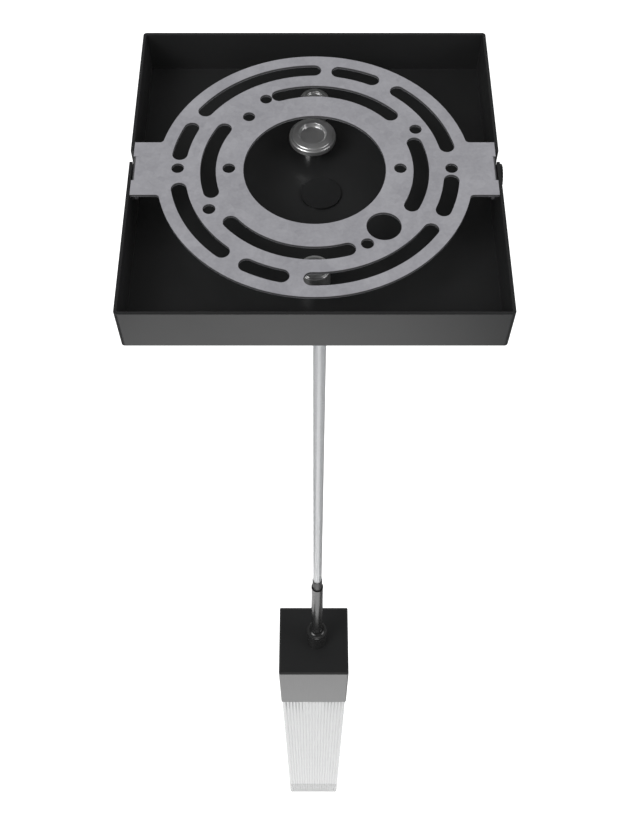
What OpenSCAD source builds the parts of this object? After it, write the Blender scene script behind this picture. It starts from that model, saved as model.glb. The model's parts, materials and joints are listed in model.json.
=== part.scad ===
// Cord-hung pendant light: a square canopy on a ceiling plate, a cord with a swivel
// at the top, and a square lamp with a metal cap over a ribbed glass shade.
// Millimetres. The origin is the centre of the mounting plate's top face, +Z is up,
// and the lamp hangs down along -Z. The front of the lamp faces -Y.

/* [Mounting plate] */
// Diameter of the round part of the plate
plate_d = 102.4; // [96:0.1:112]
// Thickness of the plate's sheet
plate_t = 1; // [0.8:0.1:1.2]
// Width of the two ears
ear_w = 22.4; // [18:0.1:26]
// Width of the flange that folds down from the middle of each ear
flange_w = 10; // [8:0.1:14]
// Depth of the flanges
flange_h = 9.5; // [8.5:0.1:13]
// Outside radius of the folds
bend_r = 1.3; // [1.25:0.05:2]
// Diameter of the wire hole in the middle
wire_hole_d = 46.3; // [40:0.1:50]
// Diameter of the plain screw holes
screw_hole_d = 4.1; // [3.5:0.1:4.5]
// Diameter of the nipple hole
nipple_hole_d = 11.1; // [9:0.1:11.5]
// Radius that the outer ring of slots follows
outer_slot_r = 44.45; // [43:0.05:45]
// Radius that the inner ring of slots follows
inner_slot_r = 34.6; // [33:0.05:35.5]
// Width of the slots
slot_w = 5.1; // [4:0.1:5.5]

/* [Canopy] */
// Outside width of the square canopy
canopy_w = 120.65; // [116:0.05:150]
// Height of the canopy
canopy_h = 17; // [16:0.1:30]
// Thickness of the canopy's side walls
canopy_wall = 1; // [0.8:0.1:1.5]
// Thickness of the canopy's floor
canopy_floor = 1.2; // [0.8:0.1:2]
// Radius of the canopy's four upright corners
canopy_corner_r = 1.2; // [0.5:0.1:4]
// How far the canopy slides between its entry notch and its locked place
lock_travel = 5.1; // [5:0.1:8]
// Width of the entry notches and of the slots that they lead into
lock_slot_w = 4.7; // [4.5:0.1:5]
// Depth of the locking screw's axis below the rim
lock_depth = 4.55; // [4.4:0.05:5]
// Diameter of the two dished standoffs
standoff_d = 10; // [8:0.1:12]
// Distance of each standoff from the middle of the canopy
standoff_y = 36.75; // [34:0.05:40]
// Diameter of the dished earth cup
earth_cup_d = 16; // [12:0.1:18]
// Distance of the earth cup behind the middle of the canopy
earth_cup_y = 20; // [16:0.1:21]
// Height of the standoffs and of the earth cup above the canopy's floor
standoff_h = 8.2; // [6:0.1:10]

/* [Locking screw] */
// Diameter of the thumbscrew's shank
thumb_shank_d = 4; // [3.5:0.1:4.2]
// Diameter of the thumbscrew's head
thumb_head_d = 9; // [7:0.1:10]
// Thickness of the thumbscrew's head
thumb_head_t = 0.7; // [0.6:0.1:4]

/* [Cord] */
// How far the cord hangs to the right of the lamp's middle
drop_x = 2.2; // [0:0.1:3]
// Diameter of the cord
cord_d = 5.5; // [4.5:0.1:5.6]
// Diameter of the ball that the cord is gripped in
ball_d = 12; // [12:0.1:13]
// Depth of the sleeve's top below the ceiling
sleeve_top = 387; // [300:1:440]
// Outside diameter of the sleeve
sleeve_d = 7.5; // [7.5:0.1:8]
// Wall of the sleeve
sleeve_wall = 0.6; // [0.5:0.05:0.6]
// Length of the ferrule that shows above the sleeve
ferrule_show = 13; // [5:0.5:20]
// Least wall of the ferrule
ferrule_wall = 0.3; // [0.2:0.05:0.3]
// Diameter of the collar on top of the lamp
collar_d = 13.7; // [13:0.1:18]
// Height of the collar
collar_h = 25.2; // [20:0.1:40]
// Height of the collar's straight part
collar_straight = 21.6; // [12:0.1:30]

/* [Lamp] */
// Depth of the cap's top below the ceiling
cap_top = 493.9; // [470:0.1:600]
// Outside width of the square cap
cap_w = 49.25; // [48:0.05:60]
// Height of the cap
cap_h = 73.7; // [72:0.1:90]
// Wall of the cap's sides
cap_wall = 1.4; // [1.2:0.1:2]
// Thickness of the cap's top
cap_top_t = 2; // [1.6:0.1:3]
// Width of the sloping edge round the cap's top
cap_bevel = 1.2; // [0.5:0.1:1.5]
// Width of the sloping upright edges of the cap
cap_edge = 0.8; // [0.4:0.1:1.2]
// Depth of the side screws below the cap's top
side_screw_drop = 66.5; // [64:0.1:68]
// Diameter of the side screws' heads
side_head_d = 6.6; // [5.5:0.1:8]
// Thickness of the side screws' heads
side_head_t = 2.2; // [1.2:0.1:2.5]
// How far each side of the ribbed shade stands back from the cap's side
shade_inset = 0.475; // [0.3:0.025:1.5]
// Depth of the shade's closed bottom below the cap
shade_h = 353.5; // [200:0.5:450]
// Thickness of the solid glass at the bottom of the shade
shade_base = 42.6; // [10:0.1:60]
// Number of ribs across each side of the shade
ribs = 19; // [12:1:24]
// Depth of the grooves between ribs
rib_depth = 0.55; // [0.2:0.05:0.8]
// Width of the square bore in the shade
shade_bore = 36; // [34:0.1:38]
// Wall of the inner diffuser tube
diffuser_wall = 2; // [1.5:0.1:3]

/* [Hidden] */
$fn = 96;

// Overshoot of a cutting tool past the faces that it cuts
cut = 1;
// Running clearance round a shaft that turns
run = 0.05;
// Clearance between faces that pass each other
gap = 0.3;
// Play left beside a face that something turns against
play = 0.1;

// Clearance between the flanges and the canopy's walls
ear_gap = 0.15;
// Width of the cuts beside each fold
fold_relief = 0.1;
// The canopy's middle sits behind the plate's middle when it is locked
canopy_y = 0.53 * lock_travel;
canopy_in = canopy_w / 2 - canopy_wall;
floor_z = -canopy_h + canopy_floor;
ear_x = canopy_in - ear_gap;
lock_z = -lock_depth;
// Width of the nut and of the stud's collar, which stand clear of the fold inside the flange
flange_nut_af = thumb_shank_d + 0.9;
flange_nut_h = 3;
stud_collar_t = 1;
thumb_shank_l = 8;
// The earth cup is this thick on a post, a little left of the middle
cup_t = 3;
post_h = standoff_h - cup_t;
post_d = 8;
earth_x = -0.7;

// The slots' round ends are this much narrower, so they cross the sides instead of grazing them
slot_end_trim = 0.02;
// Slots of the plate: [start angle, end angle], counted from +X towards +Y
outer_slots = [
  [9, 54], [60.5, 82.5], [87, 148.5], [153.5, 175.5],
  [188, 233], [238.5, 260], [265.5, 328.5], [333.5, 356.5]
];
inner_slots = [[-31, 22.5], [38.5, 114.5], [146, 201], [216, 291.5]];
// Plain screw holes of the plate in opposite pairs: [pitch circle, angle]
screw_pairs = [[88.9, 0], [69.85, 118], [55.7, 0], [75.2, 27]];
earth_hole = [31.6, 134];
nipple_hole = [32.4, -47.8];

// Swivel: the ball turns in the seat, and the seat turns in the socket
ball_r = ball_d / 2;
seat_in = ball_r + gap;
seat_out = seat_in + 1.2;
socket_r = seat_out + gap;
housing_r = socket_r + 1.5;
housing_top_t = 1.4;
pivot_z = -canopy_h - housing_top_t - socket_r;
seat_top = -0.6;
seat_bottom = -3.9;
retainer_h = 7;
mouth_z = -4.8;
mouth_r = sqrt(socket_r * socket_r - mouth_z * mouth_z);
mouth_slope = 0.6;
shank_r = 5;
grip_web = 0.6;
grip_cap_d = 13.5;
grip_cap_t = 0.8;
wire_room_r = 3.2;

// Cord, sleeve and what is on them
cord_r = cord_d / 2;
cord_top_z = pivot_z + ball_r - 1;
cap_z = -cap_top;
sleeve_r = sleeve_d / 2;
collar_r = collar_d / 2;
collar_z = cap_z + play;
shoulder_r = sleeve_r + 0.3;
shoulder_h = collar_h - collar_straight;
shoulder_dx = collar_r - shoulder_r;
shoulder_arc = (shoulder_h * shoulder_h + shoulder_dx * shoulder_dx) / (2 * shoulder_dx);
ferrule_in = 8;
// The ferrule fills the sleeve's bore when the cord is thinner
ferrule_r = max(cord_r + ferrule_wall, sleeve_r - sleeve_wall - play);
set_screw_r = 1.25;
plate2_t = 1.5;
washer_z = cap_z - cap_top_t - plate2_t - play;
washer_t = 1;
washer_r = 8;
nut_h = 4;
nut_af = 12;
sleeve_end_z = washer_z - washer_t - nut_h - 1;
cord_end_z = sleeve_end_z - 2;
plug_h = 5;
pin_r = 1.2;
pin_h = 6.5;

// Inside of the cap
cap_in = cap_w / 2 - cap_wall;
cap_end_z = cap_z - cap_h;
cradle_t = 1.2;
cradle_x = cap_in - 0.15;
chassis_x = cradle_x - cradle_t;
chassis_leg_x = chassis_x - plate2_t;
leg_w = 20;
side_z = cap_z - side_screw_drop;
side_shank_r = 1.75;
side_hole_r = side_shank_r + play;

// Shade and the parts stacked on its lip
shade_w = cap_w - 2 * shade_inset;
shade_top_z = cap_end_z - gap;
shade_end_z = cap_end_z - shade_h - gap;
lip_w = shade_bore + 6.4;
neck_w = shade_bore + 3.4;
lip_h = 3;
lip_top_z = cap_end_z + 9;
gasket_h = 2.6;
board_top_z = lip_top_z + gasket_h;
board_t = 1.6;
board_w = shade_bore + 2;
cradle_top_z = lip_top_z - lip_h - 0.15;
cradle_h = 1.5;
cradle_split = 0.5;
sink_base_h = 5;
sink_base_z = board_top_z + sink_base_h;
fin_h = 8.5;
fin_t = 1.2;
fins = 8;
fin_span = 2 * (chassis_leg_x - 1.5);
fin_len = 28;
sink_top_z = sink_base_z + fin_h;
tray_t = 1.5;
driver_x = 34;
driver_y = 22;
driver_wall = 1.5;
driver_z = sink_top_z + tray_t;
driver_top_z = cord_end_z - plug_h - 3;
driver_h = driver_top_z - driver_z;
socket_outer_r = 3.6;
socket_proud = 2.6;
socket_room = 5;
lead_r = 0.8;
lead_x = 3;
lead_y = 16.5;
lead_z = driver_z + 8;

// Puts its children at the middle of the locked canopy
module at_canopy() {
  translate([0, canopy_y, 0]) children();
}

// Puts its children on the cord's axis
module at_drop() {
  translate([drop_x, canopy_y, 0]) children();
}

// A block with round upright corners, centred on Z, standing on z = 0
module rounded_block(w, d, h, r) {
  translate([-w / 2 + r, -d / 2, 0]) cube([w - 2 * r, d, h]);
  translate([-w / 2, -d / 2 + r, 0]) cube([w, d - 2 * r, h]);
  for (sx = [-1, 1], sy = [-1, 1])
    translate([sx * (w / 2 - r), sy * (d / 2 - r), 0]) cylinder(r = r, h = h);
}

// A square block centred on Z, with its top at z = 0
module hanging_block(w, d, h) {
  translate([-w / 2, -d / 2, -h]) cube([w, d, h]);
}

// A ring round Z, standing on z = 0
module ring(r_out, r_in, h) {
  difference() {
    cylinder(r = r_out, h = h);
    translate([0, 0, -cut]) cylinder(r = r_in, h = h + 2 * cut);
  }
}

// A shaft of length l from x = 0 along +X
module shaft_x(r, l) {
  rotate([0, 90, 0]) cylinder(r = r, h = l);
}

// Cuts one curved slot with round ends through the plate
module curved_slot(r, from, to) {
  end = asin(slot_w / 2 / r);
  h = plate_t + 2 * cut;
  translate([0, 0, -plate_t - cut]) {
    rotate([0, 0, from + end])
      rotate_extrude(angle = to - from - 2 * end)
        translate([r - slot_w / 2, 0]) square([slot_w, h]);
    for (a = [from + end, to - end])
      rotate([0, 0, a]) translate([r, 0, 0]) cylinder(d = slot_w - slot_end_trim, h = h, $fn = 32);
  }
}

// Cuts one round hole through the plate at a radius and an angle
module plate_hole(r, angle, d) {
  rotate([0, 0, angle]) translate([r, 0, -plate_t - cut])
    cylinder(d = d, h = plate_t + 2 * cut, $fn = 48);
}

// One ear of the plate on the +X side: the flat, and a flange folded down from its middle
module ear() {
  fold_x = ear_x - bend_r;
  side_w = (ear_w - flange_w) / 2 - fold_relief;
  translate([0, -ear_w / 2, -plate_t]) cube([fold_x, ear_w, plate_t]);
  for (y = [-ear_w / 2, ear_w / 2 - side_w])
    translate([fold_x - cut, y, -plate_t]) cube([bend_r + cut, side_w, plate_t]);
  intersection() {
    translate([fold_x, flange_w / 2, -bend_r]) rotate([90, 0, 0]) ring(bend_r, bend_r - plate_t, flange_w);
    translate([fold_x, -flange_w, -bend_r]) cube([bend_r, 2 * flange_w, bend_r]);
  }
  translate([ear_x - plate_t, -flange_w / 2, -flange_h]) cube([plate_t, flange_w, flange_h - bend_r]);
}

// The fillet between the plate's round edge and an ear, in the +X +Y quarter
module ear_fillet() {
  r = 1.5;
  // The fillet's arc crosses both edges by this much instead of grazing them
  bite = 0.05;
  disc_r = plate_d / 2;
  y = ear_w / 2 + r - bite;
  x = sqrt((disc_r + r - bite) * (disc_r + r - bite) - y * y);
  a = atan2(y, x);
  translate([0, 0, -plate_t]) linear_extrude(height = plate_t) difference() {
    polygon([[disc_r * cos(a), disc_r * sin(a)], [x, ear_w / 2], [x, ear_w / 4], [disc_r - 4, ear_w / 4]]);
    translate([x, y]) circle(r = r);
  }
}

module mounting_plate() {
  color("lightsteelblue") difference() {
    union() {
      translate([0, 0, -plate_t]) cylinder(d = plate_d, h = plate_t);
      for (side = [0, 1]) mirror([side, 0, 0]) {
        ear();
        ear_fillet();
        mirror([0, 1, 0]) ear_fillet();
      }
    }
    plate_hole(0, 0, wire_hole_d);
    for (p = screw_pairs, half = [0, 180]) plate_hole(p[0] / 2, p[1] + half, screw_hole_d);
    plate_hole(earth_hole[0], earth_hole[1], screw_hole_d);
    plate_hole(nipple_hole[0], nipple_hole[1], nipple_hole_d);
    for (s = outer_slots) curved_slot(outer_slot_r, s[0], s[1]);
    for (s = inner_slots) curved_slot(inner_slot_r, s[0], s[1]);
    translate([ear_x - plate_t - cut, 0, lock_z])
      shaft_x(thumb_shank_d / 2 + run, plate_t + 2 * cut);
    translate([-ear_x - cut, 0, lock_z]) shaft_x(thumb_shank_d / 2, plate_t + 2 * cut);
  }
}

// The fixed stud on the left flange that the canopy's left slot hooks over
module locating_stud() {
  color("silver") {
    translate([-canopy_w / 2 + play, 0, lock_z])
      shaft_x(thumb_shank_d / 2, canopy_w / 2 - play - ear_x + plate_t);
    translate([-ear_x + plate_t, 0, lock_z]) shaft_x(flange_nut_af / 2, stud_collar_t);
  }
}

// The nut on the inside of the right flange that the thumbscrew turns in
module clinch_nut() {
  l = flange_nut_h;
  color("silver") translate([ear_x - plate_t - l, 0, lock_z]) difference() {
    rotate([0, 90, 0]) rotate([0, 0, 30]) cylinder(d = flange_nut_af / cos(30), h = l, $fn = 6);
    translate([-cut, 0, 0]) shaft_x(thumb_shank_d / 2 + run, l + 2 * cut);
  }
}

module thumbscrew() {
  head_r = thumb_head_d / 2;
  grooves = 24;
  groove_r = 0.4;
  groove_depth = 0.25;
  slot = 1;
  color([0.06, 0.06, 0.06]) translate([canopy_w / 2 + play, 0, lock_z]) difference() {
    union() {
      shaft_x(head_r, thumb_head_t);
      translate([-thumb_shank_l, 0, 0]) shaft_x(thumb_shank_d / 2, thumb_shank_l);
    }
    for (i = [0 : grooves - 1]) rotate([i * 360 / grooves, 0, 0])
      translate([thumb_head_t / 2, 0, head_r + groove_r - groove_depth])
        rotate([0, 90, 0]) cylinder(r = groove_r, h = thumb_head_t, $fn = 16);
    translate([thumb_head_t / 2, -head_r - cut, -slot / 2])
      cube([thumb_head_t, 2 * head_r + 2 * cut, slot]);
  }
}

// The slot in one side wall: down from the rim, then forward to the locked place
module lock_slot() {
  w = canopy_wall + 2 * cut;
  r = lock_slot_w / 2;
  translate([canopy_w / 2 - canopy_wall - cut, -canopy_y, lock_z]) {
    for (y = [0, lock_travel]) translate([0, y, 0]) shaft_x(r, w);
    translate([0, 0, -r]) cube([w, lock_travel, 2 * r]);
    translate([0, lock_travel - r, 0]) cube([w, 2 * r, lock_depth + cut]);
  }
}

module canopy_pan() {
  color([0.12, 0.12, 0.12]) at_canopy() difference() {
    translate([0, 0, -canopy_h]) rounded_block(canopy_w, canopy_w, canopy_h, canopy_corner_r);
    hanging_block(2 * canopy_in, 2 * canopy_in, -floor_z);
    translate([0, 0, cut / 2]) hanging_block(2 * canopy_in, 2 * canopy_in, cut);
    lock_slot();
    mirror([1, 0, 0]) lock_slot();
    translate([drop_x, 0, -canopy_h - cut]) cylinder(r = shank_r + run, h = canopy_floor + 2 * cut);
  }
}

// A turned head with a round-edged rim that slopes a little outwards, and a flat-floored dish in it
module dished_post(d, h) {
  r = d / 2;
  edge_r = 0.09 * r;
  slope = 0.09 * r;
  crest_r = 0.62 * r;
  dish_r = 0.48 * r;
  dish = 0.19 * r;
  rotate_extrude() {
    polygon([
      [0, 0], [r, 0], [r, h - slope - edge_r], [r - edge_r, h - slope - edge_r],
      [r - edge_r, h - slope], [crest_r, h], [dish_r, h - dish], [0, h - dish]
    ]);
    translate([r - edge_r, h - slope - edge_r]) circle(r = edge_r, $fn = 24);
  }
}

module floor_standoffs() {
  color("gainsboro") at_canopy() for (y = [-standoff_y, standoff_y])
    translate([0, y, floor_z]) dished_post(standoff_d, standoff_h);
}

// The post under the earth cup
module earth_post() {
  color("silver") at_canopy() translate([earth_x, earth_cup_y, floor_z]) cylinder(d = post_d, h = post_h);
}

module earth_cup() {
  color("gainsboro") at_canopy() translate([earth_x, earth_cup_y, floor_z + post_h])
    dished_post(earth_cup_d, cup_t);
}

// The flush disc that closes the cord grip inside the canopy
module grip_cap() {
  color([0.1, 0.1, 0.1]) at_drop() translate([0, 0, floor_z]) cylinder(d = grip_cap_d, h = grip_cap_t);
}

module grip_housing() {
  color([0.08, 0.08, 0.08]) at_drop() difference() {
    union() {
      translate([0, 0, -canopy_h]) cylinder(r = shank_r, h = canopy_floor);
      translate([0, 0, pivot_z]) cylinder(r = housing_r, h = housing_top_t + socket_r);
    }
    translate([0, 0, pivot_z]) sphere(r = socket_r);
    translate([0, 0, pivot_z]) cylinder(r = wire_room_r, h = floor_z - pivot_z - grip_web);
  }
}

// The screwed ring under the housing that carries the seat and the ball
module grip_retainer() {
  color([0.08, 0.08, 0.08]) at_drop() translate([0, 0, pivot_z]) difference() {
    translate([0, 0, -retainer_h]) cylinder(r = housing_r, h = retainer_h);
    sphere(r = socket_r);
    translate([0, 0, -retainer_h - cut])
      cylinder(
        r1 = mouth_r + mouth_slope * (retainer_h + cut + mouth_z),
        r2 = mouth_r,
        h = retainer_h + cut + mouth_z
      );
  }
}

// The nylon ring that the ball turns in, itself turning in the socket
module swivel_seat() {
  color("ivory") at_drop() translate([0, 0, pivot_z]) intersection() {
    difference() {
      sphere(r = seat_out);
      sphere(r = seat_in);
    }
    translate([0, 0, seat_bottom]) cylinder(r = socket_r, h = seat_top - seat_bottom);
  }
}

module swivel_ball() {
  color("silver") at_drop() translate([0, 0, pivot_z]) difference() {
    sphere(r = ball_r);
    translate([0, 0, -ball_r - cut]) cylinder(r = cord_r, h = 2 * ball_r + 2 * cut);
  }
}

module cord() {
  color([0.8, 0.8, 0.8]) at_drop() translate([0, 0, cord_end_z])
    cylinder(r = cord_r, h = cord_top_z - cord_end_z);
}

module cord_ferrule() {
  color([0.15, 0.15, 0.15]) at_drop() translate([0, 0, -sleeve_top - ferrule_in])
    ring(ferrule_r, cord_r, ferrule_in + ferrule_show);
}

module drop_sleeve() {
  color([0.2, 0.2, 0.2]) at_drop() translate([0, 0, sleeve_end_z])
    ring(sleeve_r, sleeve_r - sleeve_wall, -sleeve_top - sleeve_end_z);
}

// The collar: a straight part with a bullet-shaped shoulder above it
module collar() {
  color([0.12, 0.12, 0.12]) at_drop() translate([0, 0, collar_z]) difference() {
    union() {
      cylinder(r = collar_r, h = collar_straight);
      rotate_extrude() intersection() {
        translate([collar_r - shoulder_arc, collar_straight]) circle(r = shoulder_arc);
        translate([0, collar_straight - cut]) square([collar_r, shoulder_h + cut]);
      }
    }
    translate([0, 0, -cut]) cylinder(r = sleeve_r, h = collar_h + 2 * cut);
    translate([0, 0, collar_straight / 2]) rotate([-90, 0, 0])
      cylinder(r = set_screw_r, h = collar_r + cut, $fn = 32);
  }
}

module collar_set_screw() {
  l = collar_r - sleeve_r - 0.4;
  key_d = 1.4;
  key_l = 1;
  color([0.3, 0.3, 0.3]) at_drop() translate([0, sleeve_r, collar_z + collar_straight / 2])
    rotate([-90, 0, 0]) difference() {
      cylinder(r = set_screw_r, h = l, $fn = 32);
      translate([0, 0, l - key_l]) cylinder(d = key_d, h = key_l + cut, $fn = 6);
    }
}

module thrust_washer() {
  color("silver") at_drop() translate([0, 0, washer_z - washer_t]) ring(washer_r, sleeve_r, washer_t);
}

module retaining_nut() {
  color("goldenrod") at_drop() translate([0, 0, washer_z - washer_t - nut_h]) difference() {
    cylinder(d = nut_af / cos(30), h = nut_h, $fn = 6);
    translate([0, 0, -cut]) cylinder(r = sleeve_r, h = nut_h + 2 * cut);
  }
}

// The round plug on the cord's lower end, which turns in the driver's socket
module cord_plug() {
  color([0.1, 0.1, 0.1]) at_drop() translate([0, 0, cord_end_z]) {
    translate([0, 0, -plug_h]) cylinder(r = cord_r, h = plug_h);
    translate([0, 0, -plug_h - pin_h]) cylinder(r = pin_r, h = pin_h + cut);
  }
}

// The cap's outer form: a square block whose top and upright edges slope
module cap_form() {
  h = cap_h;
  w = cap_w / 2;
  b = cap_bevel;
  outline = [[-w, -h], [w, -h], [w, -b], [w - b, 0], [b - w, 0], [-w, -b]];
  intersection() {
    translate([0, w, 0]) rotate([90, 0, 0]) linear_extrude(height = cap_w) polygon(outline);
    translate([-w, 0, 0]) rotate([90, 0, 90]) linear_extrude(height = cap_w) polygon(outline);
    translate([0, 0, -h - cut]) linear_extrude(height = h + 2 * cut) polygon([
      for (a = [0 : 90 : 270], p = [[w - cap_edge, -w], [w, cap_edge - w]])
        [p[0] * cos(a) - p[1] * sin(a), p[0] * sin(a) + p[1] * cos(a)]
    ]);
  }
}

module cap_shell() {
  color([0.2, 0.2, 0.21]) difference() {
    at_canopy() translate([0, 0, cap_z]) difference() {
      cap_form();
      translate([0, 0, -cap_top_t]) hanging_block(2 * cap_in, 2 * cap_in, cap_h);
      translate([-cap_w, 0, -side_screw_drop]) shaft_x(side_hole_r, 2 * cap_w);
    }
    at_drop() translate([0, 0, cap_z - cap_top_t - cut])
      cylinder(r = sleeve_r + run, h = cap_top_t + 2 * cut);
  }
}

// The bracket inside the cap: a top plate with a leg down each side to the heat sink
module chassis() {
  top = cap_z - cap_top_t;
  color("lightgray") difference() {
    at_canopy() {
      translate([0, 0, top]) hanging_block(2 * chassis_x, leg_w + 4, plate2_t);
      for (side = [0, 1]) mirror([side, 0, 0])
        translate([chassis_leg_x, -leg_w / 2, sink_base_z]) cube([plate2_t, leg_w, top - sink_base_z]);
    }
    at_drop() translate([0, 0, top - plate2_t - cut])
      cylinder(r = sleeve_r + run, h = plate2_t + 2 * cut);
  }
}

// Puts its children at both side screws, with +X pointing out of the cap
module at_side_screws() {
  at_canopy() for (side = [0, 1]) mirror([side, 0, 0]) translate([cap_w / 2, 0, side_z]) children();
}

module side_screws() {
  head_r = side_head_d / 2;
  arc = (head_r * head_r + side_head_t * side_head_t) / (2 * side_head_t);
  shank_l = cap_w / 2 - chassis_x;
  key_d = 2.3;
  key_l = 1;
  color([0.06, 0.06, 0.06]) at_side_screws() difference() {
    union() {
      rotate([0, 90, 0]) rotate_extrude() intersection() {
        translate([0, side_head_t - arc]) circle(r = arc);
        square([head_r, side_head_t]);
      }
      translate([-shank_l, 0, 0]) shaft_x(side_shank_r, shank_l + 0.1);
    }
    translate([side_head_t - key_l, 0, 0]) rotate([0, 90, 0]) cylinder(d = key_d, h = key_l + cut, $fn = 6);
  }
}

// Two clamps, each a leg that a side screw pulls to a wall of the cap, with half a ring under the lip
module shade_cradles() {
  color("lightgray") at_canopy() for (side = [0, 1]) mirror([side, 0, 0]) difference() {
    union() {
      translate([cradle_split / 2, -lip_w / 2, cradle_top_z - cradle_h])
        cube([cradle_x - cradle_split / 2, lip_w, cradle_h]);
      translate([chassis_x, -leg_w / 2 + 1, cradle_top_z - cradle_h])
        cube([cradle_t, leg_w - 2, side_z + 6 - cradle_top_z + cradle_h]);
    }
    translate([0, 0, cradle_top_z + cut])
      hanging_block(neck_w + 2 * gap, neck_w + 2 * gap, cradle_h + 2 * cut);
    translate([chassis_x - cut, 0, side_z]) shaft_x(side_shank_r, cradle_t + 2 * cut);
  }
}

// A box open on its front side, its lower left front corner at the origin
module open_front_box(w, d, h, t) {
  difference() {
    cube([w, d, h]);
    translate([t, -cut, t]) cube([w - 2 * t, d - t + cut, h - 2 * t]);
  }
}

module driver_case() {
  color([0.9, 0.9, 0.88]) difference() {
    at_canopy() translate([-driver_x / 2, -driver_y / 2, driver_z])
      open_front_box(driver_x, driver_y, driver_h, driver_wall);
    at_drop() translate([0, 0, driver_top_z - driver_wall - cut])
      cylinder(r = socket_outer_r, h = driver_wall + 2 * cut);
    for (x = [-lead_x, lead_x])
      at_canopy() translate([x, driver_y / 2 - driver_wall - cut, lead_z]) rotate([-90, 0, 0])
        cylinder(r = lead_r, h = driver_wall + 2 * cut, $fn = 24);
  }
}

module driver_lid() {
  t = driver_wall;
  color([0.9, 0.9, 0.88]) at_canopy() {
    translate([-driver_x / 2, -driver_y / 2 - t, driver_z]) cube([driver_x, t, driver_h]);
    translate([-driver_x / 2 + driver_wall, -driver_y / 2, driver_z + driver_wall])
      cube([driver_x - 2 * driver_wall, 1, driver_h - 2 * driver_wall]);
  }
}

// The driver's circuit board, standing against the back of its case
module driver_board() {
  color("darkgreen") at_canopy()
    translate([-driver_x / 2 + driver_wall, driver_y / 2 - driver_wall - board_t, driver_z + driver_wall])
      cube([driver_x - 2 * driver_wall, board_t, driver_h - 2 * driver_wall - socket_room]);
}

// A coil, a capacitor and a chip on the driver's board
module driver_parts() {
  coil_r = 5.5;
  coil_hole_r = 2;
  coil_h = 6;
  capacitor_d = 8;
  capacitor_h = 11;
  chip = [4, 1.5, 4];
  y = driver_y / 2 - driver_wall - board_t;
  z = driver_z + driver_wall;
  color("dimgray") at_canopy() {
    translate([-8, y, z + 9]) rotate([90, 0, 0]) ring(coil_r, coil_hole_r, coil_h);
    translate([8, y, z + 7]) rotate([90, 0, 0]) cylinder(d = capacitor_d, h = capacitor_h, $fn = 48);
    translate([-1.5, y - chip[1], z + 12]) cube(chip);
  }
}

module driver_socket() {
  top = driver_top_z + socket_proud;
  floor_t = 1.5;
  depth = pin_h + 2 * floor_t;
  color([0.1, 0.1, 0.1]) at_drop() translate([0, 0, top - depth]) difference() {
    cylinder(r = socket_outer_r, h = depth);
    translate([0, 0, floor_t]) cylinder(r = pin_r + run, h = depth);
  }
}

module driver_tray() {
  color("white") at_canopy() translate([0, 0, driver_z]) hanging_block(driver_x + 3, fin_len - 2, tray_t);
}

module led_leads() {
  from_y = driver_y / 2 - driver_wall;
  color("firebrick") at_canopy() for (x = [-lead_x, lead_x]) {
    translate([x, from_y, lead_z]) rotate([-90, 0, 0]) cylinder(r = lead_r, h = lead_y - from_y, $fn = 24);
    translate([x, lead_y, lead_z]) sphere(r = lead_r, $fn = 24);
    translate([x, lead_y, board_top_z]) cylinder(r = lead_r, h = lead_z - board_top_z, $fn = 24);
  }
}

module heat_sink() {
  pitch = (fin_span - fin_t) / (fins - 1);
  color("silver") at_canopy() difference() {
    union() {
      translate([0, 0, sink_base_z]) hanging_block(2 * chassis_x - 2 * play, 2 * chassis_x, sink_base_h);
      for (i = [0 : fins - 1])
        translate([-fin_span / 2 + i * pitch, -fin_len / 2, sink_base_z])
          cube([fin_t, fin_len, fin_h]);
    }
    for (x = [-lead_x, lead_x])
      translate([x, lead_y, board_top_z - cut])
        cylinder(r = lead_r + gap, h = sink_base_h + 2 * cut, $fn = 24);
  }
}

module led_board() {
  color("white") at_canopy() translate([0, 0, board_top_z]) hanging_block(board_w, board_w, board_t);
}

// The light-emitting chips, in a square pattern under the board
module led_chips() {
  pitch = 8;
  chip_w = 3;
  chip_t = 0.7;
  color("gold") at_canopy() for (ix = [-1 : 1], iy = [-1 : 1])
    translate([ix * pitch, iy * pitch, board_top_z - board_t]) hanging_block(chip_w, chip_w, chip_t);
}

module gasket() {
  color([0.3, 0.3, 0.3]) at_canopy() difference() {
    translate([0, 0, board_top_z]) hanging_block(lip_w, lip_w, gasket_h);
    translate([0, 0, board_top_z + cut]) hanging_block(board_w + gap, board_w + gap, gasket_h + 2 * cut);
  }
}

// Depth of the outline at a step along one side: a row of round ribs
function rib_step(i, steps) = -rib_depth * (1 - sin(180 * (i % steps) / steps));

// One side of the shade's outline, from its left corner to its right one, facing -Y
function shade_side(w, land, steps) = [
  for (i = [0 : ribs * steps])
    [-w / 2 + land + i * (w - 2 * land) / (ribs * steps), -w / 2 - rib_step(i, steps)]
];

// Turns a list of points round the origin
function turned(points, a) = [
  for (p = points) [p[0] * cos(a) - p[1] * sin(a), p[0] * sin(a) + p[1] * cos(a)]
];

module shade() {
  side = shade_side(shade_w, 1, 4);
  body_h = shade_top_z - shade_end_z;
  color([0.85, 0.88, 0.9, 0.5]) at_canopy() difference() {
    union() {
      translate([0, 0, shade_end_z]) linear_extrude(height = body_h)
        polygon([for (a = [0 : 90 : 270]) each turned(side, a)]);
      translate([0, 0, lip_top_z]) hanging_block(neck_w, neck_w, lip_top_z - shade_top_z + cut);
      translate([0, 0, lip_top_z]) hanging_block(lip_w, lip_w, lip_h);
    }
    translate([0, 0, lip_top_z + cut])
      hanging_block(shade_bore, shade_bore, lip_top_z + cut - shade_end_z - shade_base);
  }
}

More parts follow.
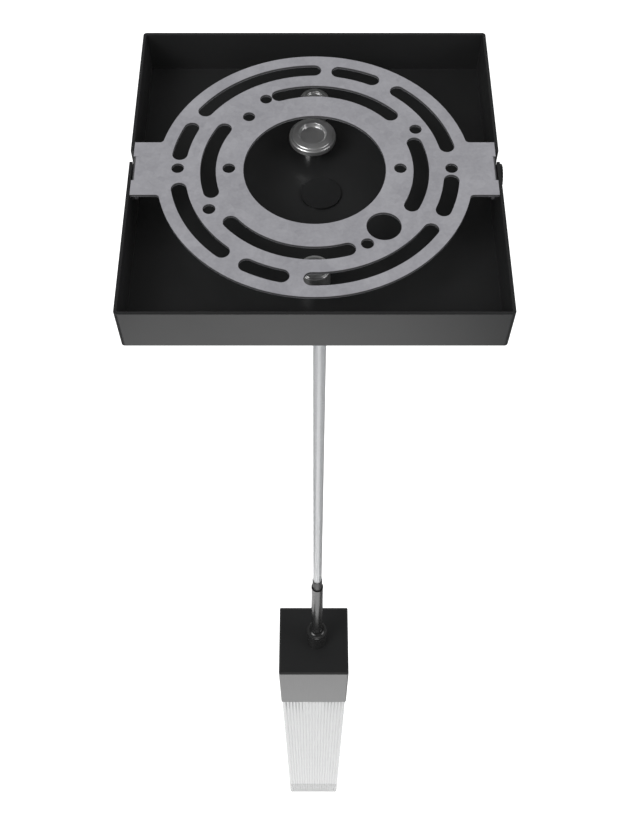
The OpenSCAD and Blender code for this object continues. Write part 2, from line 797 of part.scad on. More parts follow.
// The frosted square tube inside the shade that spreads the light
module diffuser() {
  w = shade_bore - 2 * gap;
  floor = shade_end_z + shade_base;
  color([0.95, 0.95, 0.95]) at_canopy() difference() {
    translate([0, 0, lip_top_z]) hanging_block(w, w, lip_top_z - floor);
    translate([0, 0, lip_top_z + cut])
      hanging_block(w - 2 * diffuser_wall, w - 2 * diffuser_wall, lip_top_z + 2 * cut - floor);
  }
}

mounting_plate();
locating_stud();
clinch_nut();
thumbscrew();
canopy_pan();
floor_standoffs();
earth_post();
earth_cup();
grip_cap();
grip_housing();
grip_retainer();
swivel_seat();
swivel_ball();
cord();
cord_ferrule();
drop_sleeve();
collar();
collar_set_screw();
thrust_washer();
retaining_nut();
cord_plug();
cap_shell();
chassis();
side_screws();
shade_cradles();
driver_case();
driver_lid();
driver_board();
driver_parts();
driver_socket();
driver_tray();
led_leads();
heat_sink();
led_board();
led_chips();
gasket();
shade();
diffuser();
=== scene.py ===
# %% [markdown]
# A pendant light hangs from a ceiling plate on a cord: a square black canopy, a bright cord, a
# black sleeve with a collar, a satin cap, and a long square shade of ribbed glass over a frosted
# tube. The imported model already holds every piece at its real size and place, so the frame is
# loaded first. Where a piece needs more shape or light-play than the solid gives, a new surface
# stands in for it.

# %% Load the frame
import json
import math

import bpy
import numpy as np
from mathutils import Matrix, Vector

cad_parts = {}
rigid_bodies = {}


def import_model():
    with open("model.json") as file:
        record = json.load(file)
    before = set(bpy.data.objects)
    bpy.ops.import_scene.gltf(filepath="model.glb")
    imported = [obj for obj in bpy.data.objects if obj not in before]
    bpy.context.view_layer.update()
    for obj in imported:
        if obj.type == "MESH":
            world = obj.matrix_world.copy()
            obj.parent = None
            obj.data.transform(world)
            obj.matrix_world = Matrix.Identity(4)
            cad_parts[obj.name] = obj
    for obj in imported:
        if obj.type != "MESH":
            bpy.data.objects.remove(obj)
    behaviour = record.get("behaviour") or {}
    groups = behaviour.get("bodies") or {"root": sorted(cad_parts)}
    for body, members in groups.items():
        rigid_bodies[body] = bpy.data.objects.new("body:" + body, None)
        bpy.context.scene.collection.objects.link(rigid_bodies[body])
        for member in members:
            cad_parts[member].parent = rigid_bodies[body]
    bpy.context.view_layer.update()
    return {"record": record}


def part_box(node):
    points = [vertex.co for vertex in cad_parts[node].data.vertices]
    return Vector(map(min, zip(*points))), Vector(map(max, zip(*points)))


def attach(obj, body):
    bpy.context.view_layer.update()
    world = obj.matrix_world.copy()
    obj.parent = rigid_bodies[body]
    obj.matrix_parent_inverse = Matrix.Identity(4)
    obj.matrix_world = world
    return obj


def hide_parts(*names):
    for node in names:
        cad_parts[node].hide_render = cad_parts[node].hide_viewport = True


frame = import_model()
MM = 0.001

# %% [markdown]
# The camera stands a little above the canopy and looks down at a steep angle, so the open top of
# the canopy fills the upper half of the picture and the lamp shrinks away below it. A camera in
# Blender looks straight down when it is not turned, so tilting it about X by the rest of the angle
# is enough. The lens is given as a share of the picture's height.

# %% Camera
LOOK_DOWN = 60.09
FOCAL_SHARE = 1.3463
SENSOR = 36.0
CAMERA_SIDE = -0.53 * MM
CAMERA_BACK = 247.95 * MM
CAMERA_UP = 270.2 * MM

pan_low, pan_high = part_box("canopy_pan")
CENTRE_Y = (pan_low.y + pan_high.y) / 2
camera_data = bpy.data.cameras.new("camera")
camera_data.sensor_fit = "VERTICAL"
camera_data.sensor_height = SENSOR
camera_data.lens = FOCAL_SHARE * SENSOR
camera_data.clip_start = 0.01
camera_data.clip_end = 50
camera = bpy.data.objects.new("camera", camera_data)
camera.location = (CAMERA_SIDE, CENTRE_Y - CAMERA_BACK, CAMERA_UP)
camera.rotation_euler = (math.radians(90 - LOOK_DOWN), 0, 0)
bpy.context.scene.collection.objects.link(camera)
bpy.context.scene.camera = camera
bpy.context.scene.view_settings.view_transform = "Standard"
print("lens", round(camera_data.lens, 2), "mm")

# %% [markdown]
# New pieces are surfaces worked out as whole arrays: a grid of points, one ring of points per row.
# One function joins neighbouring points into four-sided faces. Rings always close on themselves,
# and the first and last ring are closed by one flat face each, so every piece is a sealed solid.

# %% Rings of points to a mesh
SHARP_ANGLE = math.radians(32)


def mesh_from_rings(name, rings):
    """Joins rings[i, j] to its neighbours, wrapping round j, with a flat face at each end."""
    rows, cols = rings.shape[:2]
    i = np.arange(rows - 1)[:, None]
    j = np.arange(cols)[None, :]
    after = (j + 1) % cols
    corners = (i * cols + j, i * cols + after, (i + 1) * cols + after, (i + 1) * cols + j)
    quads = np.stack([c.ravel() for c in np.broadcast_arrays(*corners)], axis=1)
    ends = [list(range(cols))[::-1], list(range((rows - 1) * cols, rows * cols))]
    mesh = bpy.data.meshes.new(name)
    mesh.from_pydata(rings.reshape(-1, 3).tolist(), [], quads.tolist() + ends)
    mesh.update()
    if signed_volume(mesh) < 0:
        mesh.flip_normals()
    mesh.shade_smooth()
    mesh.set_sharp_from_angle(angle=SHARP_ANGLE)
    piece = bpy.data.objects.new(name, mesh)
    bpy.context.scene.collection.objects.link(piece)
    print(name, len(mesh.polygons), "faces,", round(signed_volume(mesh) * 1e6, 2), "cm3")
    return piece


def signed_volume(mesh):
    """Sum of a . (b x c) / 6 over all triangles; positive when a closed mesh's faces point out."""
    mesh.calc_loop_triangles()
    corner = np.empty(len(mesh.loop_triangles) * 3, dtype=np.int32)
    mesh.loop_triangles.foreach_get("vertices", corner)
    points = np.empty(len(mesh.vertices) * 3, dtype=np.float32)
    mesh.vertices.foreach_get("co", points)
    a, b, c = points.reshape(-1, 3).astype(float)[corner.reshape(-1, 3)].transpose(1, 0, 2)
    return float(np.einsum("ij,ij->", a, np.cross(b, c)) / 6)

# %% [markdown]
# A turned piece is a profile carried round an upright axis. The profile is a list of radius and
# height pairs, and every ring is a circle of that radius at that height. A tube is the shortest
# such profile, and a dished stud head only needs more pairs, so both come from the same function.

# %% Turned pieces
def turned_piece(name, profile, centre, around=96):
    """x = cx + r cos t, y = cy + r sin t, z = h for each (r, h) of the profile and t all round."""
    radius, height = np.asarray(profile, float).T[:, :, None]
    turn = np.linspace(0, 2 * np.pi, around, endpoint=False)[None, :]
    x = centre[0] + radius * np.cos(turn)
    y = centre[1] + radius * np.sin(turn)
    return mesh_from_rings(name, np.stack([x, y, height + 0 * turn], axis=2))

# %% [markdown]
# The cord is one straight hanging length, taut under the lamp's weight. It starts in the ball of
# the cord grip, where it can swing, and ends in the plug inside the lamp. On the real one a bright
# braid lies under a clear jacket, and the jacket bends light so far at its flanks that they look
# dark. Two turned pieces, one inside the other, give just that. Both follow the same straight line
# as the solid model.

# %% Cord
CORD_X = 2.2 * MM
CORD_DIAMETER = 5.5 * MM
BRAID_DIAMETER = 3.7 * MM
END_COVER = 0.5 * MM
CORD_RINGS = 49
CORD_SIDES = 64

cord_low, cord_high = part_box("cord")
cord_heights = np.linspace(cord_high.z, cord_low.z, CORD_RINGS)
braid_heights = np.linspace(cord_high.z - END_COVER, cord_low.z + END_COVER, CORD_RINGS)
cord_profile = [(CORD_DIAMETER / 2, z) for z in cord_heights]
braid_profile = [(BRAID_DIAMETER / 2, z) for z in braid_heights]
cord_tube = turned_piece("cord_tube", cord_profile, (CORD_X, CENTRE_Y), CORD_SIDES)
cord_braid = turned_piece("cord_braid", braid_profile, (CORD_X, CENTRE_Y), CORD_SIDES)
for piece in (cord_tube, cord_braid):
    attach(piece, "drop")
    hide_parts("cord")

# %% [markdown]
# Materials are small graphs of nodes. Written by hand they soon become a page of links, so one
# small class wraps a socket and lets Python arithmetic add the Math nodes. Another class holds one
# finish: its method adds any other node from its type, its settings and the values or links of its
# sockets.

# %% Shader maths as Python expressions
class Wire:
    """An output socket of a finish; arithmetic on it adds Math nodes to the same finish."""

    def __init__(self, finish, socket):
        self.finish, self.socket = finish, socket

    def math(self, operation, first, second=None):
        values = {0: first} if second is None else {0: first, 1: second}
        return self.finish.node("Math", {"operation": operation}, values)

    def __add__(self, other):
        return self.math("ADD", self, other)

    def __sub__(self, other):
        return self.math("SUBTRACT", self, other)

    def __rsub__(self, other):
        return self.math("SUBTRACT", other, self)

    def __mul__(self, other):
        return self.math("MULTIPLY", self, other)

    __radd__ = __add__

    def sine(self):
        return self.math("SINE", self)

    def size(self):
        return self.math("ABSOLUTE", self)

    def root(self):
        return self.math("SQRT", self)

    def larger(self, other):
        return self.math("MAXIMUM", self, other)

    def step(self, low, high):
        """0 below low, 1 above high, and a smooth ramp between them."""
        values = {0: self, 1: low, 2: high}
        return self.finish.node("MapRange", {"interpolation_type": "SMOOTHSTEP"}, values)


class Finish:
    """The nodes of one new material, or of the node tree that is given."""

    def __init__(self, name, tree=None):
        if tree is None:
            self.material = bpy.data.materials.new(name)
            self.material.use_nodes = True
            tree = self.material.node_tree
        self.tree = tree
        self.tree.nodes.clear()

    def node(self, kind, settings=None, values=None, out=0):
        """Adds one node: settings first, then values by socket; out is one output or a list."""
        made = self.tree.nodes.new("ShaderNode" + kind)
        for key, setting in (settings or {}).items():
            setattr(made, key, setting)
        for key, value in (values or {}).items():
            if isinstance(value, Wire):
                self.tree.links.new(value.socket, made.inputs[key])
            else:
                made.inputs[key].default_value = value
        if isinstance(out, list):
            return [Wire(self, made.outputs[name]) for name in out]
        return Wire(self, made.outputs[out])

    def place(self):
        return self.node("TexCoord", out="Object")

    def axes(self):
        return self.node("SeparateXYZ", values={0: self.place()}, out=["X", "Y", "Z"])

    def noise(self, scale, detail=2, rough=0.5, stretch=(1, 1, 1)):
        where = self.node("Mapping", values={"Vector": self.place(), "Scale": stretch})
        values = {"Vector": where, "Scale": scale, "Detail": detail, "Roughness": rough}
        return self.node("TexNoise", values=values)

    def mix(self, factor, first, second):
        """Colour between first and second."""
        pair = {0: factor, 6: first, 7: second}
        return self.node("Mix", {"data_type": "RGBA"}, pair, out=2)

    def bump(self, height, depth, over=None):
        values = {"Height": height, "Distance": depth}
        if over is not None:
            values["Normal"] = over
        return self.node("Bump", values=values)

    def rounded(self, radius):
        """A normal that runs smoothly round edges, as a worn or painted edge does."""
        return self.node("Bevel", {"samples": 4}, {"Radius": radius})

    def principled(self, **values):
        named = {key.replace("_", " "): value for key, value in values.items()}
        return self.node("BsdfPrincipled", values=named)

    def surface(self, shader):
        output = self.tree.nodes.new("ShaderNodeOutputMaterial")
        self.tree.links.new(shader.socket, output.inputs["Surface"])
        return self.material

    def see_through_surface(self, shader, tint):
        """The shader, swapped for a see-through one for shadow rays only."""
        shadow = self.node("LightPath", out="Is Shadow Ray")
        through = self.node("BsdfTransparent", values={0: tint})
        return self.surface(self.node("MixShader", values={0: shadow, 1: shader, 2: through}))


def grey(value, tint=0.0):
    """An RGBA grey, a little bluer for a positive tint."""
    return (value * (1 - tint), value, value * (1 + tint), 1)

# %% [markdown]
# Metals and paints on this light share the same needs: a colour that drifts a little, a roughness
# that is never quite even, and a fine relief that breaks up the highlight. One function makes them
# all, so each finish is a line of numbers, and only the special ones get a graph of their own. The
# grain is a noise scale per metre, and the relief and the rounding of edges are in metres.

# %% Plain finishes
CLOUD_SCALE = 35
CLOUD_SHARE = 0.6
ROUGH_CLOUD = 0.12
ROUGH_GRAIN = 0.1


def plain_finish(name, colour, metallic, rough, grain, relief, drift=0.12, edge=0.0):
    """Noise at two scales drives colour, roughness and relief; edges are rounded where asked."""
    f = Finish(name)
    cloud = f.noise(CLOUD_SCALE, 3)
    fine = f.noise(grain, 2)
    darker = tuple(c * (1 - drift) for c in colour[:3]) + (1,)
    lighter = tuple(min(1.0, c * (1 + drift)) for c in colour[:3]) + (1,)
    shader = f.principled(
        Base_Color=f.mix(cloud * CLOUD_SHARE + fine * (1 - CLOUD_SHARE), darker, lighter),
        Metallic=metallic,
        Roughness=rough + (cloud - 0.5) * ROUGH_CLOUD + (fine - 0.5) * ROUGH_GRAIN,
        Normal=f.bump(fine, relief, f.rounded(edge) if edge else None),
    )
    return f.surface(shader)


# Each line gives the name, the colour, then metallic, roughness, grain and relief.
FINISHES = {
    "bright_steel": plain_finish("bright_steel", grey(0.62), 1.0, 0.24, 1400, 0.00002),
    "canopy_paint": plain_finish(
        "canopy_paint", grey(0.016, 0.02), 0.0, 0.33, 2600, 0.000006, edge=0.0004, drift=0.25
    ),
    "screw_black": plain_finish("screw_black", grey(0.018), 0.4, 0.34, 2200, 0.00001, edge=0.0002),
    "grip_black": plain_finish(
        "grip_black", grey(0.012, 0.03), 0.0, 0.36, 2600, 0.00001, edge=0.0002, drift=0.25
    ),
    "nylon": plain_finish("nylon", (0.78, 0.74, 0.64, 1), 0.0, 0.42, 900, 0.00002),
    "ferrule_dark": plain_finish("ferrule_dark", grey(0.02), 0.0, 0.42, 1500, 0.00002),
    "sleeve_black": plain_finish("sleeve_black", grey(0.014), 0.0, 0.2, 3000, 0.000003, drift=0.2),
    "brass": plain_finish("brass", (0.72, 0.52, 0.22, 1), 1.0, 0.3, 1200, 0.00002),
    "driver_plastic": plain_finish(
        "driver_plastic", grey(0.74), 0.0, 0.46, 1600, 0.00002, edge=0.0003
    ),
    "component_grey": plain_finish("component_grey", grey(0.16), 0.1, 0.4, 1100, 0.00003),
    "lead_red": plain_finish("lead_red", (0.5, 0.03, 0.02, 1), 0.0, 0.45, 1300, 0.00002),
    "gasket_rubber": plain_finish("gasket_rubber", grey(0.05), 0.0, 0.7, 900, 0.00004),
    "led_yellow": plain_finish("led_yellow", (0.85, 0.62, 0.12, 1), 0.0, 0.35, 1500, 0.00001),
}
print(len(FINISHES), "plain finishes")

# %% [markdown]
# The mounting plate is zinc-plated sheet: matt, a little blue, with a soft cloudy mottle where the
# plating took unevenly and a fine grain over it. Its base colour drifts between two greys. The
# punched edges of the sheet are darkened almost to black by a mask on the height between its faces:
# painted shade, for edge faces that stand in the dark inside of the canopy. The bracket in the lamp
# has the same finish and lies far below the mask.

# %% Zinc plate
ZINC_DARK = (0.2, 0.198, 0.22, 1)
ZINC_LIGHT = (0.5, 0.498, 0.527, 1)
EDGE_BOTTOM = (-0.96 * MM, -0.85 * MM)
EDGE_TOP = (-0.15 * MM, -0.04 * MM)


def zinc_plate():
    """Grey between two tones by cloud, speck and flake; painted shade between the sheet's two faces.
    """
    f = Finish("zinc_plate")
    cloud = f.noise(60, 4, 0.6)
    speck = f.noise(900, 3, 0.65)
    flake = f.node("TexVoronoi", values={"Vector": f.place(), "Scale": 420}, out="Color")
    flake_tone = f.node("RGBToBW", values={0: flake})
    drift = cloud * 0.5 + speck * 0.35 + flake_tone * 0.15
    height = f.axes()[2]
    # Painted shade: the sheet's edge faces, between its two flat faces, are darkened almost to
    # black.
    painted_edge_shade = height.step(*EDGE_BOTTOM) * (1 - height.step(*EDGE_TOP))
    shader = f.principled(
        Base_Color=f.mix(painted_edge_shade * 0.85, f.mix(drift, ZINC_DARK, ZINC_LIGHT), grey(0.05)),
        Metallic=0.35,
        Roughness=0.5 + (cloud - 0.5) * 0.15 + (speck - 0.5) * 0.15,
        Normal=f.bump(speck, 0.00002),
    )
    return f.surface(shader)


FINISHES["zinc_plate"] = zinc_plate()
FINISHES["bracket_steel"] = FINISHES["zinc_plate"]

# %% [markdown]
# The stud heads in the canopy are turned and polished steel. A lathe leaves fine rings about the
# axis, so the relief is a sine of the distance from that axis. The two small heads mirror each
# other about the canopy's middle, so the size of the offset from the middle serves both at once.

# %% Turned steel
STANDOFF_Y = 36.75 * MM
CUP_CENTRE = (-0.7 * MM, CENTRE_Y + 20 * MM)
RING_WAVE = 13000


def turned_steel(name, x_offset, y_offset, mirrored):
    """Bright steel with rings: the relief is sin(k r), where r is the distance from the axis."""
    f = Finish(name)
    x, y, _ = f.axes()
    across = x - x_offset
    along = y - CENTRE_Y
    along = (along.size() if mirrored else along) - y_offset
    distance = (across * across + along * along).root()
    rings = (distance * RING_WAVE).sine()
    smudge = f.noise(260, 3)
    shader = f.principled(
        Base_Color=f.mix(smudge, grey(0.56), grey(0.7)),
        Metallic=0.9,
        Roughness=0.26 + smudge * 0.12,
        Normal=f.bump(rings, 0.0000015),
    )
    return f.surface(shader)


FINISHES["dished_steel"] = turned_steel("dished_steel", 0.0, STANDOFF_Y, True)
cup_steel = turned_steel("cup_steel", CUP_CENTRE[0], CUP_CENTRE[1] - CENTRE_Y, False)

# %% [markdown]
# The cap carries the same black paint as the canopy. It is darker on top than in front only
# because the front face mirrors the pale floor at a shallow angle. The metal under the paint was
# brushed upright, which still shows as very fine lines, so the noise is stretched along Z.

# %% Satin cap
def satin_cap():
    """Black paint over upright brush lines."""
    f = Finish("cap_black")
    brush = f.noise(1800, 3, 0.6, (1, 1, 0.03))
    cloud = f.noise(30, 2)
    shader = f.principled(
        Base_Color=f.mix(cloud * 0.6 + brush * 0.4, grey(0.011, 0.02), grey(0.018, 0.02)),
        Roughness=0.3 + (brush - 0.5) * 0.05,
        Normal=f.bump(brush, 0.000001, f.rounded(0.0002)),
    )
    return f.surface(shader)


FINISHES["cap_black"] = satin_cap()

# %% [markdown]
# The cord's braid is two sets of fine strands that wind round it in opposite directions and cross.
# The tube has no UV map of its own, so the angle about the cord's axis comes from its coordinates,
# and the two windings are sines of that angle plus or minus the height. The jacket is clear
# plastic, and for shadow rays it is swapped for a see-through shader, so that lamps reach the
# braid inside.

# %% Braided cord
STRANDS = 12
BRAID_PITCH = 16 * MM


def braided_cord():
    """Strands are sin(n t + k z) and sin(n t - k z), with t the angle round the cord's axis."""
    f = Finish("cord_silver")
    x, y, z = f.axes()
    behind = y - CENTRE_Y
    angle = behind.math("ARCTAN2", behind, x - CORD_X)
    climb = z * (2 * math.pi * STRANDS / BRAID_PITCH)
    one = (angle * STRANDS + climb).sine()
    other = (angle * STRANDS - climb).sine()
    weave = one.larger(other)
    # Painted light and shade: the base colour is lighter on the strands' crests and darker in the
    # gaps.
    painted_strand_light = weave.step(-0.2, 0.6)
    shader = f.principled(
        Base_Color=f.mix(painted_strand_light, grey(0.74, 0.01), grey(0.92, 0.01)),
        Metallic=0.3,
        Roughness=0.34 - painted_strand_light * 0.08,
        Normal=f.bump(weave, 0.00004),
    )
    return f.surface(shader)


def clear_jacket():
    """Clear plastic with a faint waviness from the strands under it."""
    f = Finish("clear_jacket")
    smudge = f.noise(200, 2)
    plastic = f.principled(
        Base_Color=f.mix(smudge, grey(0.92, 0.01), grey(0.97, 0.01)),
        Roughness=0.02 + smudge * 0.04,
        IOR=1.45,
        Transmission_Weight=1.0,
        Normal=f.bump(smudge, 0.00001),
    )
    return f.see_through_surface(plastic, grey(0.95))


FINISHES["cord_silver"] = braided_cord()

# %% [markdown]
# The glass of the shade is clear but a little milky, so it both bends what is behind it and
# scatters some light back. Lamps have to reach the frosted tube inside, and a renderer finds that
# path only by luck, so for shadow rays the glass is swapped for a see-through shader. Its colour is
# darkened in the grooves, at the corners and in the solid bottom: painted shade, which stands in
# for the way the real glass looks darker there.

# %% Glass and frosted tube
RIBS = 19
CORNER_LAND = 1.0 * MM
BASE_GLASS = 42.6 * MM
BASE_SOFTNESS = 0.4 * MM
CORNER_START = 1.7 * MM
CORNER_END = 0.9 * MM
GLASS_DARK = (0.56, 0.567, 0.567, 1)
GLASS_LIGHT = (0.61, 0.618, 0.618, 1)
# Each painted shade is a strength and a grey.
GROOVE_PAINTED_SHADE = (0.3, 0.42)
BASE_PAINTED_SHADE = (0.8, 0.27)
CORNER_PAINTED_SHADE = (0.8, 0.24)

shade_low, shade_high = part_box("shade")
shade_width = shade_high.x - shade_low.x


def clear_glass():
    """Clear tint, with painted shade in the grooves |sin(pi s)|, at the corners and in the bottom.
    """
    f = Finish("shade_glass")
    x, y, z = f.axes()
    y = y - CENTRE_Y
    across, along = x.size(), y.size()
    facing_y = (along - across).step(-0.0001, 0.0001)
    from_corner = facing_y * x + (1 - facing_y) * y + (shade_width / 2 - CORNER_LAND)
    rib = from_corner * (math.pi * RIBS / (shade_width - 2 * CORNER_LAND))
    # Painted shade: the colour darkens in the grooves, at the corner lands and in the solid bottom.
    groove = 1 - rib.sine().size().step(0.0, 0.75)
    corner = (across + along).step(shade_width - CORNER_START, shade_width - CORNER_END)
    base_top = shade_low.z + BASE_GLASS
    painted_bottom_shade = 1 - z.step(base_top - BASE_SOFTNESS, base_top + BASE_SOFTNESS)
    ripple = f.noise(90, 2)
    tint = f.mix(ripple, GLASS_DARK, GLASS_LIGHT)
    painted_shades = (groove, GROOVE_PAINTED_SHADE), (painted_bottom_shade, BASE_PAINTED_SHADE), (corner, CORNER_PAINTED_SHADE)
    for mask, (strength, value) in painted_shades:
        tint = f.mix(mask * strength, tint, grey(value))
    glass = f.principled(
        Base_Color=tint,
        Roughness=0.2 + ripple * 0.04,
        IOR=1.5,
        Transmission_Weight=0.28,
        Normal=f.bump(ripple, 0.00003),
    )
    return f.see_through_surface(glass, (0.95, 0.96, 0.96, 1))


def frosted_white():
    """Matt white with a faint cloudiness."""
    f = Finish("diffuser_opal")
    cloud = f.noise(140, 3)
    shader = f.principled(
        Base_Color=f.mix(cloud, grey(0.86), grey(0.91)),
        Roughness=0.55 + cloud * 0.1,
        Normal=f.bump(f.noise(2400, 2), 0.00001),
    )
    return f.surface(shader)


FINISHES["shade_glass"] = clear_glass()
FINISHES["diffuser_opal"] = frosted_white()

# %% [markdown]
# Inside the cap sit the parts that only show when it is taken off. The heat sink is extruded, so
# its lines run along the fins. Circuit boards have straight copper tracks under their lacquer,
# which two stepped waves across each other give.

# %% Heat sink and circuit boards
TRACK_WAVE = 2400
SLANTED_WAVE = 1900


def extruded_aluminium():
    """Bright metal with lines stretched along Y."""
    f = Finish("sink_aluminium")
    lines = f.noise(1500, 3, 0.6, (1, 0.03, 1))
    shader = f.principled(
        Base_Color=f.mix(lines, grey(0.5), grey(0.64)),
        Metallic=1.0,
        Roughness=0.34 + lines * 0.12,
        Normal=f.bump(lines, 0.00001),
    )
    return f.surface(shader)


def circuit_board(name, lacquer, track):
    """Tracks are where the larger of sin(a x) and sin(b z + b y) is near its top."""
    f = Finish(name)
    x, y, z = f.axes()
    straight = (x * TRACK_WAVE).sine()
    slanted = (z * SLANTED_WAVE + y * SLANTED_WAVE).sine()
    tracks = straight.larger(slanted).step(0.8, 0.92)
    patch = f.noise(160, 1).step(0.45, 0.5)
    shader = f.principled(
        Base_Color=f.mix(tracks * patch, lacquer, track),
        Roughness=0.3 + patch * 0.1,
        Normal=f.bump(tracks, 0.00003),
    )
    return f.surface(shader)


FINISHES["sink_aluminium"] = extruded_aluminium()
FINISHES["board_green"] = circuit_board("board_green", (0.01, 0.09, 0.03, 1), (0.05, 0.2, 0.07, 1))
FINISHES["board_white"] = circuit_board("board_white", grey(0.72), grey(0.6))

# %% [markdown]
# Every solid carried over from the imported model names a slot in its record, and the finish of that
# name goes on it. The solids keep their own meshes, and only their material changes. The cord's
# two pieces get theirs here too.

# %% Put the finishes on the carried-over solids
for part in frame["record"]["subparts"]:
    solid = bpy.data.objects[part["node"]]
    solid.data.materials.clear()
    solid.data.materials.append(FINISHES[part["material_slot"]])
cord_braid.data.materials.append(FINISHES["cord_silver"])
cord_tube.data.materials.append(clear_jacket())

# %% [markdown]
# The stud heads are domed rings round a dish with a flat floor. The profile runs from the middle
# of the underside out to the rim, over a round edge, up the dome to the crest and down into the
# dish. Its curves are quarters of ellipses, and one profile, drawn in millimetres for a head of
# 8 mm radius with its crest at zero, serves both sizes when it is scaled.

# %% Dished stud heads
DRAWN_RADIUS = 8.0
HEADS = [
    ("earth_cup_head", "earth_cup", CUP_CENTRE, cup_steel),
    (
        "front_standoff_head",
        "floor_standoffs",
        (0.0, CENTRE_Y - STANDOFF_Y),
        FINISHES["dished_steel"],
    ),
    (
        "back_standoff_head",
        "floor_standoffs",
        (0.0, CENTRE_Y + STANDOFF_Y),
        FINISHES["dished_steel"],
    ),
]


def quarter(start, end, up_first=True, steps=8):
    """(r, z) = start + (end - start) (1 - cos t, sin t), or with the two eases swapped."""
    t = np.linspace(0, np.pi / 2, steps)
    late, early = 1 - np.cos(t), np.sin(t)
    across, up = (late, early) if up_first else (early, late)
    (r0, z0), (r1, z1) = start, end
    return [(r0 + (r1 - r0) * a, z0 + (z1 - z0) * b) for a, b in zip(across, up)]


def stud_profile(radius, height, top):
    """Radius and height pairs in millimetres for a head of this radius whose crest is at top."""
    k = radius / DRAWN_RADIUS
    low = -height / k
    outline = [(0.4, low), (7.7, low), (8.0, low + 0.3)]
    outline += quarter((8.0, -1.5), (7.2, -0.75))
    outline += quarter((7.2, -0.75), (5.1, 0.0))
    outline += quarter((5.1, 0.0), (4.6, -0.3), up_first=False, steps=5)
    outline += quarter((4.45, -0.6), (3.85, -1.5))
    outline += [(3.6, -1.55), (2.0, -1.56), (0.4, -1.56)]
    return [(r * k, top + z * k) for r, z in outline]


for name, solid, centre, finish in HEADS:
    head_low, head_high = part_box(solid)
    width, height = head_high.x - head_low.x, head_high.z - head_low.z
    in_mm = stud_profile(width / 2 / MM, height / MM, head_high.z / MM)
    head = turned_piece(name, [(r * MM, z * MM) for r, z in in_mm], centre)
    head.data.materials.append(finish)
    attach(head, "canopy")
    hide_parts(solid)

# %% [markdown]
# The shade is one thick glass body. Its outline is square, with a row of round ribs along each
# side and a narrow plain land at each corner. The outline is carried down the height as rings,
# from the bore's floor up the inside, over the lip and neck, and down the ribbed outside to the
# bottom edge.

# %% Ribbed glass shade
RIB_DEPTH = 0.55 * MM
RIB_STEPS = 8
BORE = 36.0 * MM
LIP_WALL = 3.2 * MM
LIP_HEIGHT = 3.0 * MM
NECK_INSET = 1.5 * MM
NECK_TO_TOP = 9.3 * MM
EDGE = 0.8 * MM
CLOSING_SHARE = 0.2


def square_outline(width, ribbed):
    """A side along X with grooves d (1 - |sin(pi s)|) deep, s counting ribs, turned four times."""
    s = np.arange(RIBS * RIB_STEPS + 1) / RIB_STEPS
    along = (-width / 2 + CORNER_LAND) + s * (width - 2 * CORNER_LAND) / RIBS
    groove = RIB_DEPTH * (1 - np.abs(np.sin(np.pi * s))) if ribbed else 0 * s
    side = np.stack([along, -width / 2 + groove], axis=1)
    sides = []
    for angle in np.arange(4) * np.pi / 2:
        cos, sin = np.cos(angle), np.sin(angle)
        sides.append(side @ np.array([[cos, sin], [-sin, cos]]))
    return np.concatenate(sides)


def ring_at(outline, height):
    """The outline lifted to one height on the lamp's axis."""
    flat = np.full((len(outline), 1), height)
    return np.concatenate([outline + [0, CENTRE_Y], flat], axis=1)


lip_width = BORE + 2 * LIP_WALL
bore = square_outline(BORE, False)
lip = square_outline(lip_width, False)
neck = square_outline(lip_width - 2 * NECK_INSET, False)
body = square_outline(shade_width, True)
edge_share = 2 * EDGE / shade_width
bore_floor = shade_low.z + BASE_GLASS
lip_bottom = shade_high.z - LIP_HEIGHT
body_top = shade_high.z - NECK_TO_TOP
rings = [
    ring_at(bore * CLOSING_SHARE, bore_floor),
    ring_at(bore, bore_floor),
    ring_at(bore, shade_high.z),
    ring_at(lip, shade_high.z),
    ring_at(lip, lip_bottom),
    ring_at(neck, lip_bottom),
    ring_at(neck, body_top),
    ring_at(body * (1 - edge_share), body_top),
    ring_at(body, body_top - EDGE),
]
for share in np.linspace(0.1, 0.9, 9):
    rings.append(ring_at(body, body_top + (shade_low.z - body_top) * share))
for turn in np.linspace(0, math.pi / 2, 5):
    inset = 1 - edge_share * (1 - math.cos(turn))
    rings.append(ring_at(body * inset, shade_low.z + EDGE * (1 - math.sin(turn))))
rings.append(ring_at(body * CLOSING_SHARE, shade_low.z))
ribbed_shade = mesh_from_rings("ribbed_shade", np.stack(rings))
ribbed_shade.data.materials.append(FINISHES["shade_glass"])
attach(ribbed_shade, "lamp")
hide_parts("shade")

# %% [markdown]
# The room is a plain pale floor under soft lamps. The floor is far below. It glows wherever it is
# seen directly, in a reflection or through glass, which makes it plainly white there. Out to both
# sides it is darker in reflections and through glass, where black boards would stand in a studio,
# so that round black parts get dark flanks.

# %% Floor
RAY_KINDS = ["Is Camera Ray", "Is Glossy Ray", "Is Transmission Ray"]
WHITE = grey(1.0)
FLOOR_Z = -1.6
FLOOR_HALF = 8.0
FLOOR_GREY = 0.8
FLOOR_GLOW = 0.55
BOARD_GLOW = 0.15
BOARD_RIGHT = 0.33
BOARD_LEFT = 0.48
BOARD_BLUR = 0.04

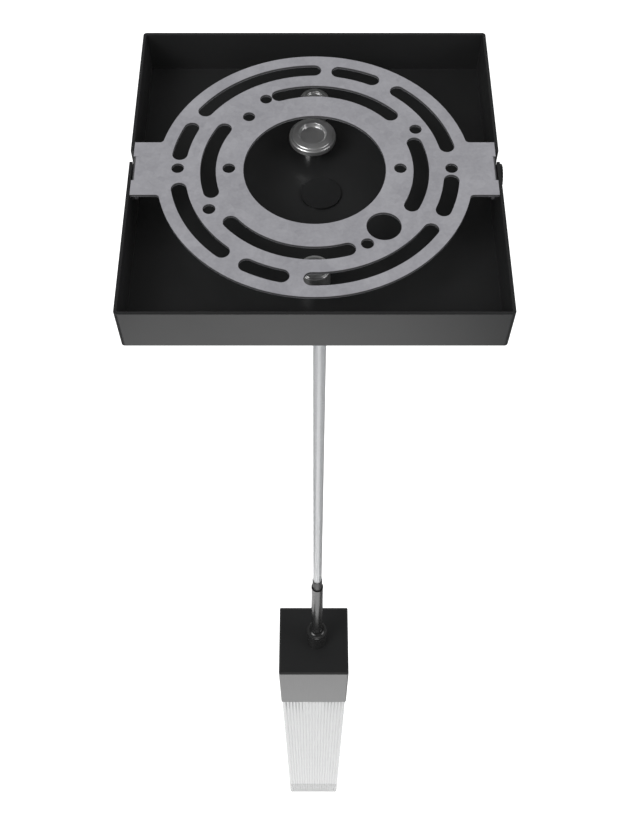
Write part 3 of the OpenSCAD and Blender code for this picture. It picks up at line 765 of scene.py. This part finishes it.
floor_mesh = bpy.data.meshes.new("floor")
square = np.array([[-1, -1, 0], [1, -1, 0], [1, 1, 0], [-1, 1, 0]])
floor_mesh.from_pydata((square * FLOOR_HALF + [0, 0, FLOOR_Z]).tolist(), [], [[0, 1, 2, 3]])
floor = bpy.data.objects.new("floor", floor_mesh)
bpy.context.scene.collection.objects.link(floor)
f = Finish("floor_white")
direct, glossy, through = f.node("LightPath", out=RAY_KINDS)
seen = direct.larger(glossy).larger(through)
across = f.axes()[0]
on_right = across.step(BOARD_RIGHT - BOARD_BLUR, BOARD_RIGHT + BOARD_BLUR)
on_left = 1 - across.step(-BOARD_LEFT - BOARD_BLUR, -BOARD_LEFT + BOARD_BLUR)
plain = f.node("BsdfDiffuse", values={0: grey(FLOOR_GREY)})
shine = f.node("Emission", values={0: WHITE, 1: seen * FLOOR_GLOW})
bright = f.node("AddShader", values={0: plain, 1: shine})
board = f.node("Emission", values={0: WHITE, 1: BOARD_GLOW})
aside = on_right.larger(on_left) * (seen - direct)
floor_mesh.materials.append(
    f.surface(f.node("MixShader", values={0: aside, 1: bright, 2: board}))
)

# %% [markdown]
# The world is white to the eye. To reflections and to glass it is white low down, dark overhead
# and darker to both sides, so that upward faces stay dark. Its own soft light comes from
# everywhere, and two square lamps add direction: a strong one from the left front, and a weak one
# from the right.

# %% World and lamps
WORLD_LIGHT = 0.85
CEILING = (0.05, 0.5)
CEILING_DARKNESS = 0.95
SIDES = (0.3, 0.6)
SIDES_DARKNESS = 0.75
LAMPS_AIM = (0, 0, -0.3)

world = bpy.data.worlds.new("studio")
bpy.context.scene.world = world
world.use_nodes = True
f = Finish("studio", world.node_tree)
direct, glossy, through = f.node("LightPath", out=RAY_KINDS)
mirrored = glossy.larger(through)
direction = f.node("TexCoord", out="Generated")
sideways, up = f.node("SeparateXYZ", values={0: direction}, out=["X", "Z"])
ceiling = 1 - up.step(*CEILING) * CEILING_DARKNESS
boards = 1 - sideways.size().step(*SIDES) * SIDES_DARKNESS
unseen = mirrored * ceiling * boards + (1 - mirrored) * WORLD_LIGHT
strength = direct + (1 - direct) * unseen
backdrop = f.node("Background", values={0: WHITE, 1: strength})
output = world.node_tree.nodes.new("ShaderNodeOutputWorld")
world.node_tree.links.new(backdrop.socket, output.inputs["Surface"])


def soft_lamp(name, place, size, watts):
    """A square area lamp at place that shines towards one point on the lamp's axis."""
    lamp_data = bpy.data.lights.new(name, "AREA")
    lamp_data.shape = "SQUARE"
    lamp_data.size = size
    lamp_data.energy = watts
    lamp = bpy.data.objects.new(name, lamp_data)
    lamp.location = place
    back = np.subtract(place, LAMPS_AIM)
    flat = math.hypot(back[0], back[1])
    lamp.rotation_euler = (math.atan2(flat, back[2]), 0, math.atan2(back[0], -back[1]))
    bpy.context.scene.collection.objects.link(lamp)


soft_lamp("key_lamp", (-1.4, -1.2, 1.6), 1.2, 32)
soft_lamp("side_lamp", (1.7, -0.6, 0.8), 1.0, 11)
